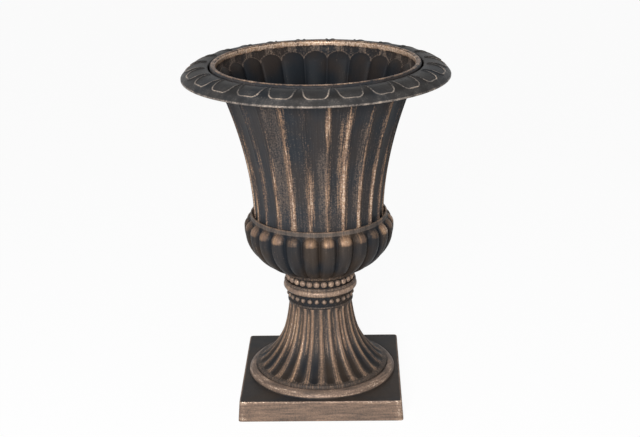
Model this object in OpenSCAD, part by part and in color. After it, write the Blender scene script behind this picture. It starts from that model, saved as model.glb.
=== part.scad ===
// A classical fluted urn planter on a square plinth. Moulded shells stand on one another by
// spigots and seats, and one long bolt down the hollow stem clamps them. Sizes are in mm.

/* [Plinth] */
// Side of the square plinth at the floor
plinth_w = 254; // [240:1:290]
// Height of the plinth's flat top above the floor
plinth_h = 32; // [30:1:44]
// How far each side of the plinth leans in over its height
plinth_draft = 2.2; // [1:0.1:4]
// Corner radius of the plinth in plan
plinth_corner_r = 5; // [3:0.5:10]
// Wall of the plinth's tray and ribs
plinth_wall = 4; // [3:0.5:6]
// Diameter of the round moulding on the plinth, where it meets the flat top
torus_d = 234; // [232:1:238]
// Height of the round moulding
torus_h = 11; // [9:0.5:12]
// Depth of the seat in the moulding that the pedestal's foot drops into
seat_depth = 3; // [2:0.5:5]
// Diameter of the hub under the seat that the bolt pulls on
hub_d = 34; // [28:1:44]
// Height of the hub's lower face above the floor
hub_z = 17; // [16:0.5:20]
// Diameter of the drain holes in the plinth
plinth_drain_d = 10; // [6:1:14]

/* [Pedestal] */
// Diameter of the pedestal's foot ring
foot_d = 209; // [205:1:210]
// Height of the pedestal's foot ring
foot_h = 8; // [6:0.5:12]
// Height of the fluted stem above the foot ring
stem_h = 104; // [90:1:130]
// Diameter over the ridges at the foot of the stem
stem_foot_d = 197; // [185:1:199]
// Diameter over the ridges at the top of the stem
stem_top_d = 98; // [96:1:102]
// Share of the stem's widening that is an even taper
stem_taper = 0.28; // [0.2:0.02:0.4]
// How late the rest of the widening comes, 1 being an even taper
stem_flare = 3.1; // [2.4:0.1:3.6]
// Number of flutes round the stem
stem_flutes = 24; // [20:1:28]
// Depth of a stem flute as a share of its width
stem_flute_depth = 0.17; // [0.12:0.01:0.2]
// Height of the scooped ends of a stem flute
stem_scoop_h = 6; // [4:0.5:8]
// Wall of the pedestal
stem_wall = 5; // [4:0.5:5.5]

/* [Collar] */
// Height of the collar between the pedestal and the cup
collar_h = 52; // [48:1:60]
// Diameter of the collar between its mouldings
collar_core_d = 101; // [99:0.5:104]
// Diameter over the collar's round middle band
collar_band_d = 115.5; // [112:0.5:122]
// Height of the round middle band
collar_band_h = 11; // [9:0.5:13]
// Diameter of a bead of the upper row
upper_bead_d = 9.6; // [8:0.2:10]
// Number of beads in the upper row
upper_beads = 30; // [26:1:31]
// Diameter of a bead of the lower row
lower_bead_d = 8.4; // [7:0.2:9]
// Number of beads in the lower row
lower_beads = 28; // [24:1:32]
// Diameter of the hollow through the collar
collar_bore_d = 76; // [72:1:78]
// Height of the spigots at the collar's two ends
spigot_h = 5; // [4:0.5:5.5]
// Wall of the spigots
spigot_wall = 4; // [3:0.5:4]

/* [Cup] */
// Height of the cup from the collar to its lip
cup_h = 96; // [92:1:110]
// Largest diameter over the cup's lobes
cup_d = 232.4; // [229:0.2:240]
// Distance of the cup's widest line below its lip
cup_widest = 25; // [23:1:28]
// How full the cup's underside is, 1 being a parabola
cup_fullness = 0.72; // [0.66:0.02:0.76]
// Number of lobes round the cup
lobe_count = 28; // [22:1:32]
// How far a lobe stands out of the cup
lobe_depth = 7.5; // [5:0.5:8]
// Diameter of the small ring under the cup
cup_foot_d = 118; // [114:1:124]
// Height of the small ring under the cup
cup_foot_h = 5; // [4:0.5:7]
// Thickness of the cup's floor
cup_floor = 10; // [9:0.5:12]
// Height of the smooth band above the lobes
cup_band_h = 8; // [6:0.5:10]
// Width of the cup's lip
cup_lip_w = 3.6; // [2.5:0.1:4]
// Gap between the bell and the cup round it
mouth_gap = 1.6; // [1:0.1:2]

/* [Bell] */
// Height of the bell from the cup's lip to its flange
bell_h = 217; // [190:1:250]
// Diameter over the bell's ridges where it enters the cup
bell_foot_d = 202; // [196:1:204]
// Diameter over the bell's ridges at its neck
bell_neck_d = 306; // [300:1:310]
// How late the bell flares, 1 being a cone and 2 a trumpet
bell_flare = 1.93; // [1.6:0.01:2.2]
// Number of flutes round the bell, and of leaves round the rim
bell_flutes = 24; // [20:1:26]
// Depth of a bell flute as a share of its width
bell_flute_depth = 0.13; // [0.08:0.01:0.16]
// Height of the arch at the top of a bell flute
flute_arch_h = 13; // [10:1:18]
// Height of the bell's straight skirt inside the cup
bell_skirt_h = 15; // [13:1:18]
// Wall of the bell
bell_wall = 4; // [3.5:0.5:5]
// Thickness of the bell's floor
bell_floor = 5; // [4:0.5:7]
// Diameter of the bell's floor
bell_floor_d = 108; // [104:1:110]
// Diameter of the drain holes in the bell's floor
drain_d = 12; // [9:0.5:12]
// Diameter of the circle that the drain holes lie on
drain_circle_d = 60; // [56:1:60]

/* [Mouth and rim] */
// Height of the mouth from the bell's flange to the top of the lip
mouth_h = 19; // [17:0.5:26]
// Width of the rolled lip round the mouth
lip_w = 9; // [7.5:0.5:9.5]
// Height of the rolled lip
lip_h = 11; // [10:0.5:13]
// Diameter of the flange that carries the rim
flange_d = 354; // [352:1:362]
// Thickness of the flange that carries the rim
flange_t = 3.5; // [3:0.5:5]
// Outer diameter of the rim, the widest size of the urn
rim_d = 405; // [395:1:420]
// Diameter of the rim's crest
rim_crest_d = 340; // [336:1:346]
// How far the rim's crest lies below the top of the lip
rim_crest_drop = 3; // [1:0.5:4]
// How far the rim falls from its crest to its outer edge
rim_fall = 18; // [15:0.5:22]
// Height of the rim's upright outer edge
rim_edge_h = 3.5; // [2.5:0.5:5]
// Wall of the rim
rim_wall = 3.5; // [3:0.5:4]
// Gap between the lip and the rim
rim_gap = 2.5; // [1.5:0.5:3]
// Diameter of the circle that the leaf tips reach
leaf_tip_d = 376; // [370:1:384]
// Width of a leaf as a share of its pitch at the crest
leaf_share = 0.88; // [0.8:0.01:0.9]
// Corner radius of a leaf's tip
leaf_corner_r = 12; // [8:0.5:14]
// How far a leaf's border stands out of the rim
leaf_relief = 1.2; // [0.8:0.1:2]
// Width of a leaf's border
leaf_border = 2.4; // [1.6:0.1:3.5]

/* [Fasteners] */
// Diameter of the tie bolt
bolt_d = 8; // [6:1:9]
// Width of the bolt's hexagonal head across its corners
bolt_head_d = 15; // [13:0.5:18]
// Height of the bolt's head
bolt_head_h = 5.3; // [4:0.1:6.5]
// Diameter of the flat steel washers
washer_d = 24; // [20:1:26]
// Thickness of the flat steel washers
washer_t = 1.6; // [1.2:0.2:2.4]
// Diameter of the rubber seal under the upper washer
seal_d = 30; // [28:1:34]
// Thickness of the rubber seal
seal_t = 2; // [1.5:0.5:3]
// Span of the wing nut's wings
wing_span = 38; // [30:1:42]
// Height of the wing nut
wing_nut_h = 8; // [7:0.5:9]
// Number of screws that hold the rim
rim_screw_count = 8; // [6:1:12]
// Diameter of a rim screw
rim_screw_d = 4; // [3:0.5:4.5]
// Length of a rim screw below its head
rim_screw_l = 9; // [8:0.5:10]
// Diameter of the flange of a drain plug
plug_flange_d = 18; // [15:0.5:19]
// Height of the grip on a drain plug
plug_grip_h = 7; // [5:0.5:10]

/* [Assembly] */
// How far the urn is turned on its plinth, in degrees
body_turn = 1.5; // [-7.5:0.5:7.5]
// Clearance round a spigot or a foot in its seat
seat_gap = 0.4; // [0.2:0.1:0.8]
// Clearance round a bolt or a screw in its hole
bolt_gap = 0.5; // [0.3:0.1:1]
// Clearance round a drain plug in its hole
plug_gap = 0.3; // [0.2:0.1:0.5]

/* [Hidden] */
$fn = 96;

// Levels of the stack, each worked out from the piece below
z_seat = plinth_h + torus_h - seat_depth;
z_foot_top = z_seat + foot_h;
z_stem_top = z_foot_top + stem_h;
z_cup = z_stem_top + collar_h;
z_cup_lip = z_cup + cup_h;
z_cup_widest = z_cup_lip - cup_widest;
z_cup_band = z_cup_lip - cup_band_h;
z_pot = z_cup + cup_floor;
z_bowl_top = z_cup_lip - bell_skirt_h;
z_flange = z_cup_lip + bell_h;
z_lip = z_flange + mouth_h;
z_crest = z_lip - rim_crest_drop;
z_rim_edge = z_crest - rim_fall;

// Radii that several pieces share
seat_r = foot_d / 2 + seat_gap;
bore_r = collar_bore_d / 2;
cup_spigot_r = bore_r + spigot_wall;
mouth_r = bell_foot_d / 2 + mouth_gap;
lip_in_r = bell_neck_d / 2 - bell_wall + 0.6;
rim_in_r = lip_in_r + lip_w + rim_gap;
rim_screw_r = rim_in_r + rim_wall + 4;
drain_holes = 4;

// The urn's front faces -Y; a hollow or a ridge of each pattern is turned to it
front = body_turn - 90;
half_flute = 180 / bell_flutes;

// Places across one flute or lobe, from its edge at -1 to just before the next edge at 1
across = [-1, -0.62, -0.22, 0.22, 0.62];

// Share of full depth at a place across a flute and at a share of its scooped end
function scoop(u, s) = max(0, 1 - u * u - s * s);
function mix(a, b, t) = a + (b - a) * t;
function reversed(v) = [for (i = [len(v) - 1:-1:0]) v[i]];
function pitch(r, n) = 2 * PI * r / n;

// One level of a patterned wall: r at the edges, and r + rise * shape at the places between
function wave(r, rise, z, n, s = 0, power = 1) = [
    for (k = [0:n - 1], u = across)
        let (a = 360 * (k + (u + 1) / 2) / n, q = r + rise * pow(scoop(u, s), power))
        [q * cos(a), q * sin(a), z]];

// A closed solid from levels that run up its outside, with a flat face at each end
module levels(rows) {
    n = len(rows[0]);
    m = len(rows);
    polyhedron(
        points = [for (row = rows) each row],
        faces = concat(
            [for (i = [0:m - 2], k = [0:n - 1])
                let (a = i * n, b = a + n, l = (k + 1) % n)
                each [[a + k, b + k, b + l], [a + k, b + l, a + l]]],
            [[for (k = [0:n - 1]) k]],
            [[for (k = [n - 1:-1:0]) (m - 1) * n + k]]));
}

module at(z) { translate([0, 0, z]) children(); }

module ring(r_out, r_in, h) {
    difference() {
        cylinder(r = r_out, h = h);
        at(-1) cylinder(r = r_in, h = h + 2);
    }
}

module around(count, r) {
    for (k = [0:count - 1]) rotate(360 * k / count) translate([r, 0, 0]) children();
}

module bolt_hole(z, h) {
    at(z) cylinder(d = bolt_d + 2 * bolt_gap, h = h);
}

// The plinth is a drafted square tray, open below, with a round moulding and a ribbed hub
module rounded_square(w, r) {
    square([w, w - 2 * r], center = true);
    square([w - 2 * r, w], center = true);
    for (x = [-1, 1], y = [-1, 1]) translate([x, y] * (w / 2 - r)) circle(r = r);
}

module plinth_block(inset, top) {
    // A low upright land at the floor, then sides that lean in to a softened top edge
    land = 3;
    soft = 1.2;
    w = plinth_w - 2 * inset;
    r = max(plinth_corner_r - inset, 1);
    linear_extrude(land) rounded_square(w, r);
    hull($fn = 32) {
        at(land - 0.5) linear_extrude(0.1) rounded_square(w, r);
        at(top - soft) linear_extrude(0.1) rounded_square(w - 2 * plinth_draft, r);
        at(top - 0.1) linear_extrude(0.1) rounded_square(w - 2 * plinth_draft - soft, r);
    }
}

module moulding_profile() {
    // A quarter round that springs from the plinth's top and dies at the seat's edge
    c = torus_d / 2 - torus_h;
    translate([0, -1]) square([c, torus_h + 1]);
    intersection() {
        translate([c, 0]) circle(r = torus_h);
        translate([0, -1]) square([torus_d, torus_h + 1]);
    }
}

module plinth() color([0.36, 0.28, 0.22]) {
    tray_top = plinth_h - plinth_wall;
    deck = z_seat - plinth_wall;
    under_r = torus_d / 2 - 2 * plinth_wall;
    difference() {
        union() {
            plinth_block(0, plinth_h);
            at(plinth_h) rotate_extrude() moulding_profile();
        }
        at(z_seat) cylinder(r = seat_r, h = torus_h);
        difference() {
            union() {
                at(-1) linear_extrude(tray_top + 1)
                    rounded_square(plinth_w - 2 * plinth_draft - 2 * plinth_wall, plinth_corner_r);
                at(tray_top - 1) cylinder(r = under_r, h = deck - tray_top + 1);
            }
            at(hub_z) {
                cylinder(d = hub_d, h = deck);
                for (a = [0, 90]) rotate(a) translate([-plinth_w / 2, -plinth_wall / 2, 0])
                    cube([plinth_w, plinth_wall, deck]);
            }
        }
        bolt_hole(0, z_seat + 1);
        rotate(45) at(deck - 1) around(drain_holes, seat_r / 2)
            cylinder(d = plinth_drain_d, h = plinth_wall + 2);
    }
}

// The pedestal is a hollow fluted stem that spreads to a flat foot ring
function stem_r(s) = mix(stem_top_d, stem_foot_d,
    stem_taper * s + (1 - stem_taper) * pow(max(s, 0), stem_flare)) / 2;
function stem_depth(s) = stem_flute_depth * pitch(stem_r(s), stem_flutes);
// Shares of the stem's height, from the foot up, where the wall has a level
stem_shares = [1.02, 1, 0.97, 0.94, 0.87, 0.79, 0.7, 0.6, 0.46, 0.26, 0.06, 0.03, 0];

function stem_scoop(s) =
    let (h = stem_scoop_h / stem_h, from_end = min(s, 1 - s)) min(1, max(0, 1 - from_end / h));

module pedestal() color([0.42, 0.33, 0.27]) {
    inner = [for (s = [1, 0.93, 0.84, 0.74, 0.62, 0.48, 0.3, 0.05])
        [stem_r(s) - stem_depth(s) - stem_wall, z_stem_top - s * stem_h]];
    top = inner[len(inner) - 1];
    chamfer = 1.5;
    spigot_r = bore_r - seat_gap;
    rotate(front) difference() {
        union() {
            levels([for (s = stem_shares)
                wave(stem_r(s), -stem_depth(s), z_stem_top - s * stem_h, stem_flutes, stem_scoop(s))]);
            at(z_seat) rotate_extrude() polygon([[0, 0], [foot_d / 2, 0],
                [foot_d / 2, foot_h - chamfer], [foot_d / 2 - chamfer, foot_h], [0, foot_h]]);
            at(z_stem_top - 1) cylinder(r = spigot_r, h = spigot_h + 1);
        }
        rotate_extrude() polygon(concat([[0, z_seat - 1], [inner[0][0], z_seat - 1]], inner,
            [[0, top[1]]]));
        at(z_seat) cylinder(r = spigot_r - spigot_wall, h = z_stem_top - z_seat + spigot_h + 1);
    }
}

// The collar has a row of beads above and below a round band, and seats at both ends
module collar_profile() {
    neck_h = 4;
    core_r = collar_core_d / 2;
    band_z = 0.53 * collar_h;
    fillet_r = 2.2;
    translate([bore_r, 0]) square([core_r - bore_r - 1, collar_h - neck_h]);
    translate([bore_r, 0]) square([core_r - bore_r - 3, collar_h]);
    translate([bore_r, 0]) square([spigot_wall, collar_h + spigot_h - 1]);
    // Round band, with a thin fillet over it and another at the collar's foot
    translate([collar_band_d / 2 - collar_band_h / 2, band_z]) circle(d = collar_band_h);
    translate([bore_r, band_z - collar_band_h / 2]) square([(collar_band_d - collar_band_h) / 2 - bore_r,
        collar_band_h]);
    translate([collar_band_d / 2 - 3.4, band_z + collar_band_h / 2 + 1.6]) circle(r = fillet_r);
    translate([core_r - fillet_r + 0.8, 3.8]) circle(r = fillet_r);
}

module collar() color([0.5, 0.38, 0.31]) rotate(front) at(z_stem_top) {
    rotate_extrude() collar_profile();
    at(collar_h - 4 - upper_bead_d / 2) around(upper_beads, collar_core_d / 2)
        sphere(d = upper_bead_d);
    at(0.26 * collar_h) around(lower_beads, collar_core_d / 2 - 0.6) sphere(d = lower_bead_d);
}

// The cup is a bowl of upright lobes, rounded over at the top under a smooth band
function cup_r(s) = cup_foot_d / 2
    + (cup_d - cup_foot_d) / 2 * pow(1 - min(s, 1) * min(s, 1), cup_fullness);
function lobe_rise(r) = lobe_depth * 2 * r / cup_d;
lobe_power = 0.8;
lobe_arch_h = 12;
cup_shares = [0.98, 0.91, 0.8, 0.66, 0.5, 0.3, 0.1];

module bowl_space(r_top, z_top, radius, z_floor) {
    // A straight mouth over a round bottom that ends at a flat floor
    intersection() {
        translate([r_top - radius, z_bowl_top]) circle(r = radius);
        translate([0, z_floor]) square([r_top, z_bowl_top - z_floor]);
    }
    translate([0, z_bowl_top - 0.1]) square([r_top, z_top - z_bowl_top + 0.1]);
}

module cup() color([0.3, 0.25, 0.22]) rotate(front) {
    drop = z_cup_widest - z_cup - cup_foot_h;
    band_r = mouth_r + cup_lip_w;
    groove_r = cup_d / 2 - lobe_depth;
    z_arch = z_cup_band - lobe_arch_h;
    body = [for (s = cup_shares) let (r = cup_r(s))
        wave(r - lobe_rise(r), lobe_rise(r), z_cup_widest - s * drop, lobe_count, 0, lobe_power)];
    shoulder = [for (s = [0, 0.45, 0.75, 0.92, 1])
        wave(mix(groove_r, band_r + 0.8, s), lobe_depth, z_arch + s * lobe_arch_h, lobe_count, s,
            lobe_power)];
    difference() {
        union() {
            levels(concat([wave(cup_foot_d / 2 - 3, 0, z_cup + cup_foot_h - 3, lobe_count)],
                body, shoulder));
            at(z_cup) cylinder(d = cup_foot_d, h = cup_foot_h);
            at(z_cup_band - 2) cylinder(r = band_r, h = cup_band_h + 2 - cup_lip_w / 2);
            at(z_cup_lip - cup_lip_w / 2) rotate_extrude() {
                translate([mouth_r + cup_lip_w / 2, 0]) circle(d = cup_lip_w);
            }
        }
        rotate_extrude() bowl_space(mouth_r, z_cup_lip + 1, bowl_radius + mouth_gap, z_pot);
        at(z_cup - 1) cylinder(r = cup_spigot_r + seat_gap, h = spigot_h + 1);
        bolt_hole(z_cup, cup_floor + 1);
        at(z_cup) around(drain_holes, drain_circle_d / 2) cylinder(d = drain_d + 1.5, h = cup_floor + 1);
    }
}

// The bell is a thin fluted pot: what is hollow outside swells inside, under a row of arches
bowl_drop = z_bowl_top - z_pot;
bowl_reach = (bell_foot_d - bell_floor_d) / 2;
bowl_radius = (bowl_reach * bowl_reach + bowl_drop * bowl_drop) / (2 * bowl_reach);
bowl_centre_r = bell_foot_d / 2 - bowl_radius;
bell_foot_gap = 4;
arch_gap = 1.5;
z_bell_arch = z_flange - arch_gap - flute_arch_h;

function bell_r(z) = mix(bell_foot_d, bell_neck_d,
    pow(max(0, (z - z_cup_lip) / bell_h), bell_flare)) / 2;
function bell_depth(z) = bell_flute_depth * pitch(bell_r(z), bell_flutes);
function bell_level(z, inset, s = 0) =
    wave(bell_r(z) - inset, -bell_depth(z), z, bell_flutes, s);

// The round bottom, from the floor up, for a surface that lies inset from the outside
function bowl_levels(inset, z_floor, steps) =
    let (r = bowl_radius - inset, low = asin((z_bowl_top - z_floor) / r))
    [for (i = [0:steps]) let (a = low * (1 - i / steps))
        wave(bowl_centre_r + r * cos(a), 0, z_bowl_top - r * sin(a), bell_flutes)];

// The whole side of the bell, from its floor to its top, on either face of the wall
function bell_side(inset, z_floor) = concat(
    bowl_levels(inset, z_floor, 3),
    [for (t = [0, 0.2, 0.38, 0.54, 0.68, 0.8, 0.91])
        bell_level(mix(z_cup_lip - bell_foot_gap, z_bell_arch, t), inset)],
    [for (s = [0, 0.42, 0.74, 1]) bell_level(z_bell_arch + s * flute_arch_h, inset, s)],
    [wave(bell_neck_d / 2 - inset, 0, z_flange + arch_gap, bell_flutes)]);

module lip_profile() {
    translate([lip_in_r, z_flange - 1])
        square([bell_neck_d / 2 - 0.6 - lip_in_r, z_lip - lip_h - z_flange + 2]);
    translate([lip_in_r, z_lip - lip_h]) square([lip_w, lip_h - lip_w / 2]);
    translate([lip_in_r + lip_w / 2, z_lip - lip_w / 2]) circle(d = lip_w);
}

module bell() color([0.27, 0.24, 0.22]) rotate(front - half_flute) {
    difference() {
        union() {
            levels(concat(bell_side(0, z_pot), reversed(bell_side(bell_wall, z_pot + bell_floor))));
            at(z_flange - flange_t) ring(flange_d / 2, (bell_neck_d - bell_wall) / 2, flange_t);
            rotate_extrude() lip_profile();
        }
        bolt_hole(z_pot - 1, bell_floor + 2);
        rotate(half_flute) at(z_pot - 1) around(drain_holes, drain_circle_d / 2)
            cylinder(d = drain_d, h = bell_floor + 2);
        rotate(half_flute) at(z_flange - flange_t - 1) around(rim_screw_count, rim_screw_r)
            cylinder(d = rim_screw_d + 2 * bolt_gap, h = flange_t + 2);
    }
}

// The rim is a curled brim with a row of bordered leaves, screwed to the flange from below
brim_reach = (rim_d - rim_crest_d) / 2;
brim_radius = (brim_reach * brim_reach + rim_fall * rim_fall) / (2 * rim_fall);

module brim_band(above, below, r_in, r_out) {
    // A slice of the brim's arc, as thick as above and below its top surface
    intersection() {
        translate([rim_crest_d / 2, z_crest - brim_radius]) difference() {
            circle(r = brim_radius + above);
            circle(r = brim_radius - below);
        }
        translate([r_in, z_rim_edge - rim_edge_h])
            square([r_out - r_in, rim_fall + rim_edge_h + above + 1]);
    }
}

module leaf(inset) {
    // A tongue that points outward, with a round-cornered tip
    tip = leaf_tip_d / 2 - inset;
    w = leaf_share * pitch(rim_crest_d / 2, bell_flutes) - 2 * inset;
    c = leaf_corner_r - inset;
    root = rim_in_r + rim_wall + 1.5 + inset;
    swell = 0.04; // how far a corner's arc stands past the straight edges that it joins
    translate([root, -w / 2]) square([tip - c - root, w]);
    translate([root, c - w / 2]) square([tip - root, w - 2 * c]);
    for (side = [-1, 1]) translate([tip - c, side * (w / 2 - c)]) circle(r = c + swell);
}

module leaf_borders() {
    intersection() {
        rotate_extrude() brim_band(leaf_relief, rim_wall / 2, rim_in_r, leaf_tip_d / 2 + 1);
        at(z_rim_edge - 1) linear_extrude(rim_fall + 10) rotate(half_flute) around(bell_flutes, 0)
            difference() {
                leaf(0);
                leaf(leaf_border);
            }
    }
}

module rim() color([0.25, 0.23, 0.22]) rotate(front - half_flute) {
    hem_r = rim_in_r + rim_wall / 2;
    hem_z = z_crest - 1 - rim_wall / 2;
    boss_r = rim_screw_d / 2 + 3;
    difference() {
        union() {
            rotate_extrude() {
                brim_band(0, rim_wall, hem_r, rim_d / 2);
                translate([hem_r, hem_z]) circle(d = rim_wall);
                translate([rim_in_r, z_flange]) square([rim_wall, hem_z - z_flange]);
            }
            leaf_borders();
            at(z_flange) rotate(half_flute) around(rim_screw_count, rim_screw_r)
                cylinder(r = boss_r, h = z_crest - rim_wall + 1 - z_flange);
        }
        at(z_flange - 1) rotate(half_flute) around(rim_screw_count, rim_screw_r)
            cylinder(d = rim_screw_d + 0.1, h = rim_screw_l - flange_t + 2);
    }
}

module rim_screws() color([0.55, 0.55, 0.56]) rotate(front)
    at(z_flange - flange_t) around(rim_screw_count, rim_screw_r) {
        cylinder(d = rim_screw_d, h = rim_screw_l);
        at(-rim_screw_d * 0.6) cylinder(d = rim_screw_d * 2, h = rim_screw_d * 0.6);
    }

// The tie bolt runs from the pot's floor to the wing nut under the plinth's hub
z_seal = z_pot + bell_floor;
z_head = z_seal + seal_t + washer_t;
z_nut = hub_z - washer_t - wing_nut_h;

module tie_bolt() color([0.62, 0.62, 0.63]) {
    at(z_nut - 2) cylinder(d = bolt_d, h = z_head + 1 - z_nut + 2);
    at(z_head) cylinder(d = bolt_head_d, h = bolt_head_h, $fn = 6);
}

module washer(z, d, t) {
    at(z) ring(d / 2, bolt_d / 2 + bolt_gap, t);
}

module head_washer() color([0.66, 0.66, 0.67]) washer(z_seal + seal_t, washer_d, washer_t);
module seal_washer() color([0.1, 0.1, 0.1]) washer(z_seal, seal_d, seal_t);
module base_washer() color([0.66, 0.66, 0.67]) washer(hub_z - washer_t, washer_d, washer_t);

module wing_nut() color([0.6, 0.6, 0.61]) at(z_nut) {
    wing_t = 2.4;
    difference() {
        union() {
            cylinder(d = bolt_d + 8, h = wing_nut_h);
            for (side = [0, 180]) rotate([90, 0, side]) translate([0, 0, -wing_t / 2])
                linear_extrude(wing_t) {
                    translate([0, wing_nut_h * 0.25]) square([wing_span / 2 - 4, wing_nut_h * 0.5]);
                    translate([wing_span / 2 - 4, wing_nut_h / 2]) circle(d = wing_nut_h);
                }
        }
        at(-1) cylinder(d = bolt_d + 0.1, h = wing_nut_h + 2);
    }
}

module drain_plug(k) color([0.12, 0.12, 0.12])
    rotate(front + 360 * k / drain_holes) translate([drain_circle_d / 2, 0, z_seal]) {
        stem_r = drain_d / 2 - plug_gap;
        cylinder(d = plug_flange_d, h = 2.5);
        at(-bell_floor - 2) cylinder(r = stem_r, h = bell_floor + 3);
        at(-bell_floor - 4) cylinder(r1 = stem_r - 1.2, r2 = stem_r, h = 2);
        at(2) cylinder(d = 6, h = plug_grip_h);
        at(plug_grip_h) cylinder(d = 10, h = 2);
    }

plinth();
pedestal();
collar();
cup();
bell();
rim();
rim_screws();
tie_bolt();
head_washer();
seal_washer();
base_washer();
wing_nut();
drain_plug(0);  // drain_plug_1
drain_plug(1);  // drain_plug_2
drain_plug(2);  // drain_plug_3
drain_plug(3);  // drain_plug_4
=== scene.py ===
# %% [markdown]
# # A fluted garden urn in antique bronze
#
# The real object is a moulded urn in six shells: a square plinth, a fluted pedestal, a beaded
# collar, a cup of round lobes, a fluted bell and a curled rim of leaves. The shells arrive as a
# fixed CAD frame in metres, standing on z = 0. This lesson gives each shell a finer mesh where
# its flutes and lobes need it, and then paints all of them as the maker does: near-black first,
# and a dry brush of copper dragged over whatever stands proud.

# %% Load the frame
import bpy
import math
import numpy as np
from mathutils import Matrix, Vector
from mathutils.geometry import tessellate_polygon


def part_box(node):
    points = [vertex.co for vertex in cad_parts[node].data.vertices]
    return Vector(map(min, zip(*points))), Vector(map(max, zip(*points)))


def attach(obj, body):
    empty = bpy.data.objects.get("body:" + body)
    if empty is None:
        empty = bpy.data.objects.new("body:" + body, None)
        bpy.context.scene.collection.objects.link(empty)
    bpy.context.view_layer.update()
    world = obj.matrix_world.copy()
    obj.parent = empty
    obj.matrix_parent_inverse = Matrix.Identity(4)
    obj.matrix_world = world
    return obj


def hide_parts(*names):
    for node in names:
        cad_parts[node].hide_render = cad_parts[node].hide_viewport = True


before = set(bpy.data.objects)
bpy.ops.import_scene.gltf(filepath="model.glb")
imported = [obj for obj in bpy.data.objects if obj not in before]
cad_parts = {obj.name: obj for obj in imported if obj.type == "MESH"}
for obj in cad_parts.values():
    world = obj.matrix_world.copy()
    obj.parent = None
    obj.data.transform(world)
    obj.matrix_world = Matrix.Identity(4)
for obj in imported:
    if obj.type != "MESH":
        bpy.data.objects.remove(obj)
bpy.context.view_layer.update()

# %% [markdown]
# ## The camera
#
# The picture was taken with a long lens from a little above the rim. Matching it first means that
# every later render can be laid beside the photograph. The camera stands 6 cm to the right of the
# urn's middle, looks down 19 degrees and is tipped by about one degree, which is why the urn seems
# to lean.

# %% Camera
LENS_MM = 75.05
CAMERA_PLACE = Vector((0.0568, -1.9622, 0.9679))
CAMERA_HEADING = math.radians(1.608)
CAMERA_DOWN = math.radians(19.16)
CAMERA_TILT = math.radians(-1.212)

lens = bpy.data.cameras.new("camera")
lens.lens = LENS_MM
camera = bpy.data.objects.new("camera", lens)
bpy.context.collection.objects.link(camera)
camera.matrix_world = (
    Matrix.Translation(CAMERA_PLACE)
    @ Matrix.Rotation(CAMERA_HEADING, 4, "Z")
    @ Matrix.Rotation(math.pi / 2 - CAMERA_DOWN, 4, "X")
    @ Matrix.Rotation(CAMERA_TILT, 4, "Z")
)
bpy.context.scene.camera = camera
print("Camera", round(CAMERA_PLACE.length, 2), "m from the urn's foot")

# %% [markdown]
# ## A small language for nodes
#
# The shaders and the Geometry Nodes below are sums of many small maths nodes. Wired one by one
# they would hide the formula, so a `Wire` wraps a socket and lets Python's own operators add the
# Math nodes, and a `Tree` adds every other node in one call. Both kinds of tree use the same Math
# nodes, so one formula can shape a flute and paint it too.

# %% Wires and trees
class Wire:
    """The output of a node. Arithmetic on it adds Math nodes to its tree."""

    def __init__(self, tree, socket):
        self.tree = tree
        self.socket = socket

    def math(self, operation, *others):
        return self.tree.math(operation, self, *others)

    def __add__(self, other):
        return self.math("ADD", other)

    def __sub__(self, other):
        return self.math("SUBTRACT", other)

    def __rsub__(self, other):
        return self.tree.math("SUBTRACT", other, self)

    def __mul__(self, other):
        return self.math("MULTIPLY", other)

    def __truediv__(self, other):
        return self.math("DIVIDE", other)

    def __pow__(self, other):
        return self.math("POWER", other)

    def __abs__(self):
        return self.math("ABSOLUTE")

    __radd__ = __add__
    __rmul__ = __mul__

    def clamp(self):
        return self.math("MAXIMUM", 0.0).math("MINIMUM", 1.0)

    def ramp(self, low, high):
        """0 at low, 1 at high, and a soft S between them. High may be the lower of the two."""
        share = ((self - low) / (high - low)).clamp()
        return share * share * (3 - 2 * share)


class Tree:
    """A node tree that adds a node, sets it and links it in one call."""

    def __init__(self, tree):
        self.tree = tree

    def node(self, kind, settings=None, values=None, output=0):
        made = self.tree.nodes.new(kind)
        for name, value in (settings or {}).items():
            setattr(made, name, value)
        for name, value in (values or {}).items():
            if isinstance(value, Wire):
                self.tree.links.new(value.socket, made.inputs[name])
            else:
                made.inputs[name].default_value = value
        return Wire(self, made.outputs[output]) if len(made.outputs) else None

    def math(self, operation, *values):
        return self.node("ShaderNodeMath", {"operation": operation}, dict(enumerate(values)))

    def split(self, vector):
        return [self.node("ShaderNodeSeparateXYZ", None, {0: vector}, i) for i in range(3)]

    def height(self, place):
        return self.node("ShaderNodeSeparateXYZ", None, {0: place}, 2)

    def angle(self, place):
        """The angle of a place round the axis."""
        x, y = self.split(place)[:2]
        return self.math("ARCTAN2", y, x)

    def join(self, x, y, z):
        return self.node("ShaderNodeCombineXYZ", None, {0: x, 1: y, 2: z})

    def noise(self, vector, scale, detail=2.0, rough=0.5):
        values = {"Vector": vector, "Scale": scale, "Detail": detail, "Roughness": rough}
        return self.node("ShaderNodeTexNoise", None, values)

    def mix(self, share, first, second):
        values = {0: share, 6: first, 7: second}
        return self.node("ShaderNodeMix", {"data_type": "RGBA"}, values, 2)


print("Wires and trees ready")

# %% [markdown]
# ## Levels and radii
#
# The heights come from the frame's own boxes, so the fine meshes meet where the CAD shells meet.
# What a box can't tell, such as how late the bell flares, is named once, in millimetres as the
# maker's drawing would give it. The bell's curve ends at the throat, a little above the flange
# that carries the rim.

# %% Levels and radii
MM = 0.001
FRONT = math.radians(1.5 - 90)
FLUTES = 24
LOBES = 26
BEADS = 28
HALF_FLUTE = math.pi / FLUTES


def levels_mm(node):
    low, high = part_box(node)
    return low.z / MM, high.z / MM


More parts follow.
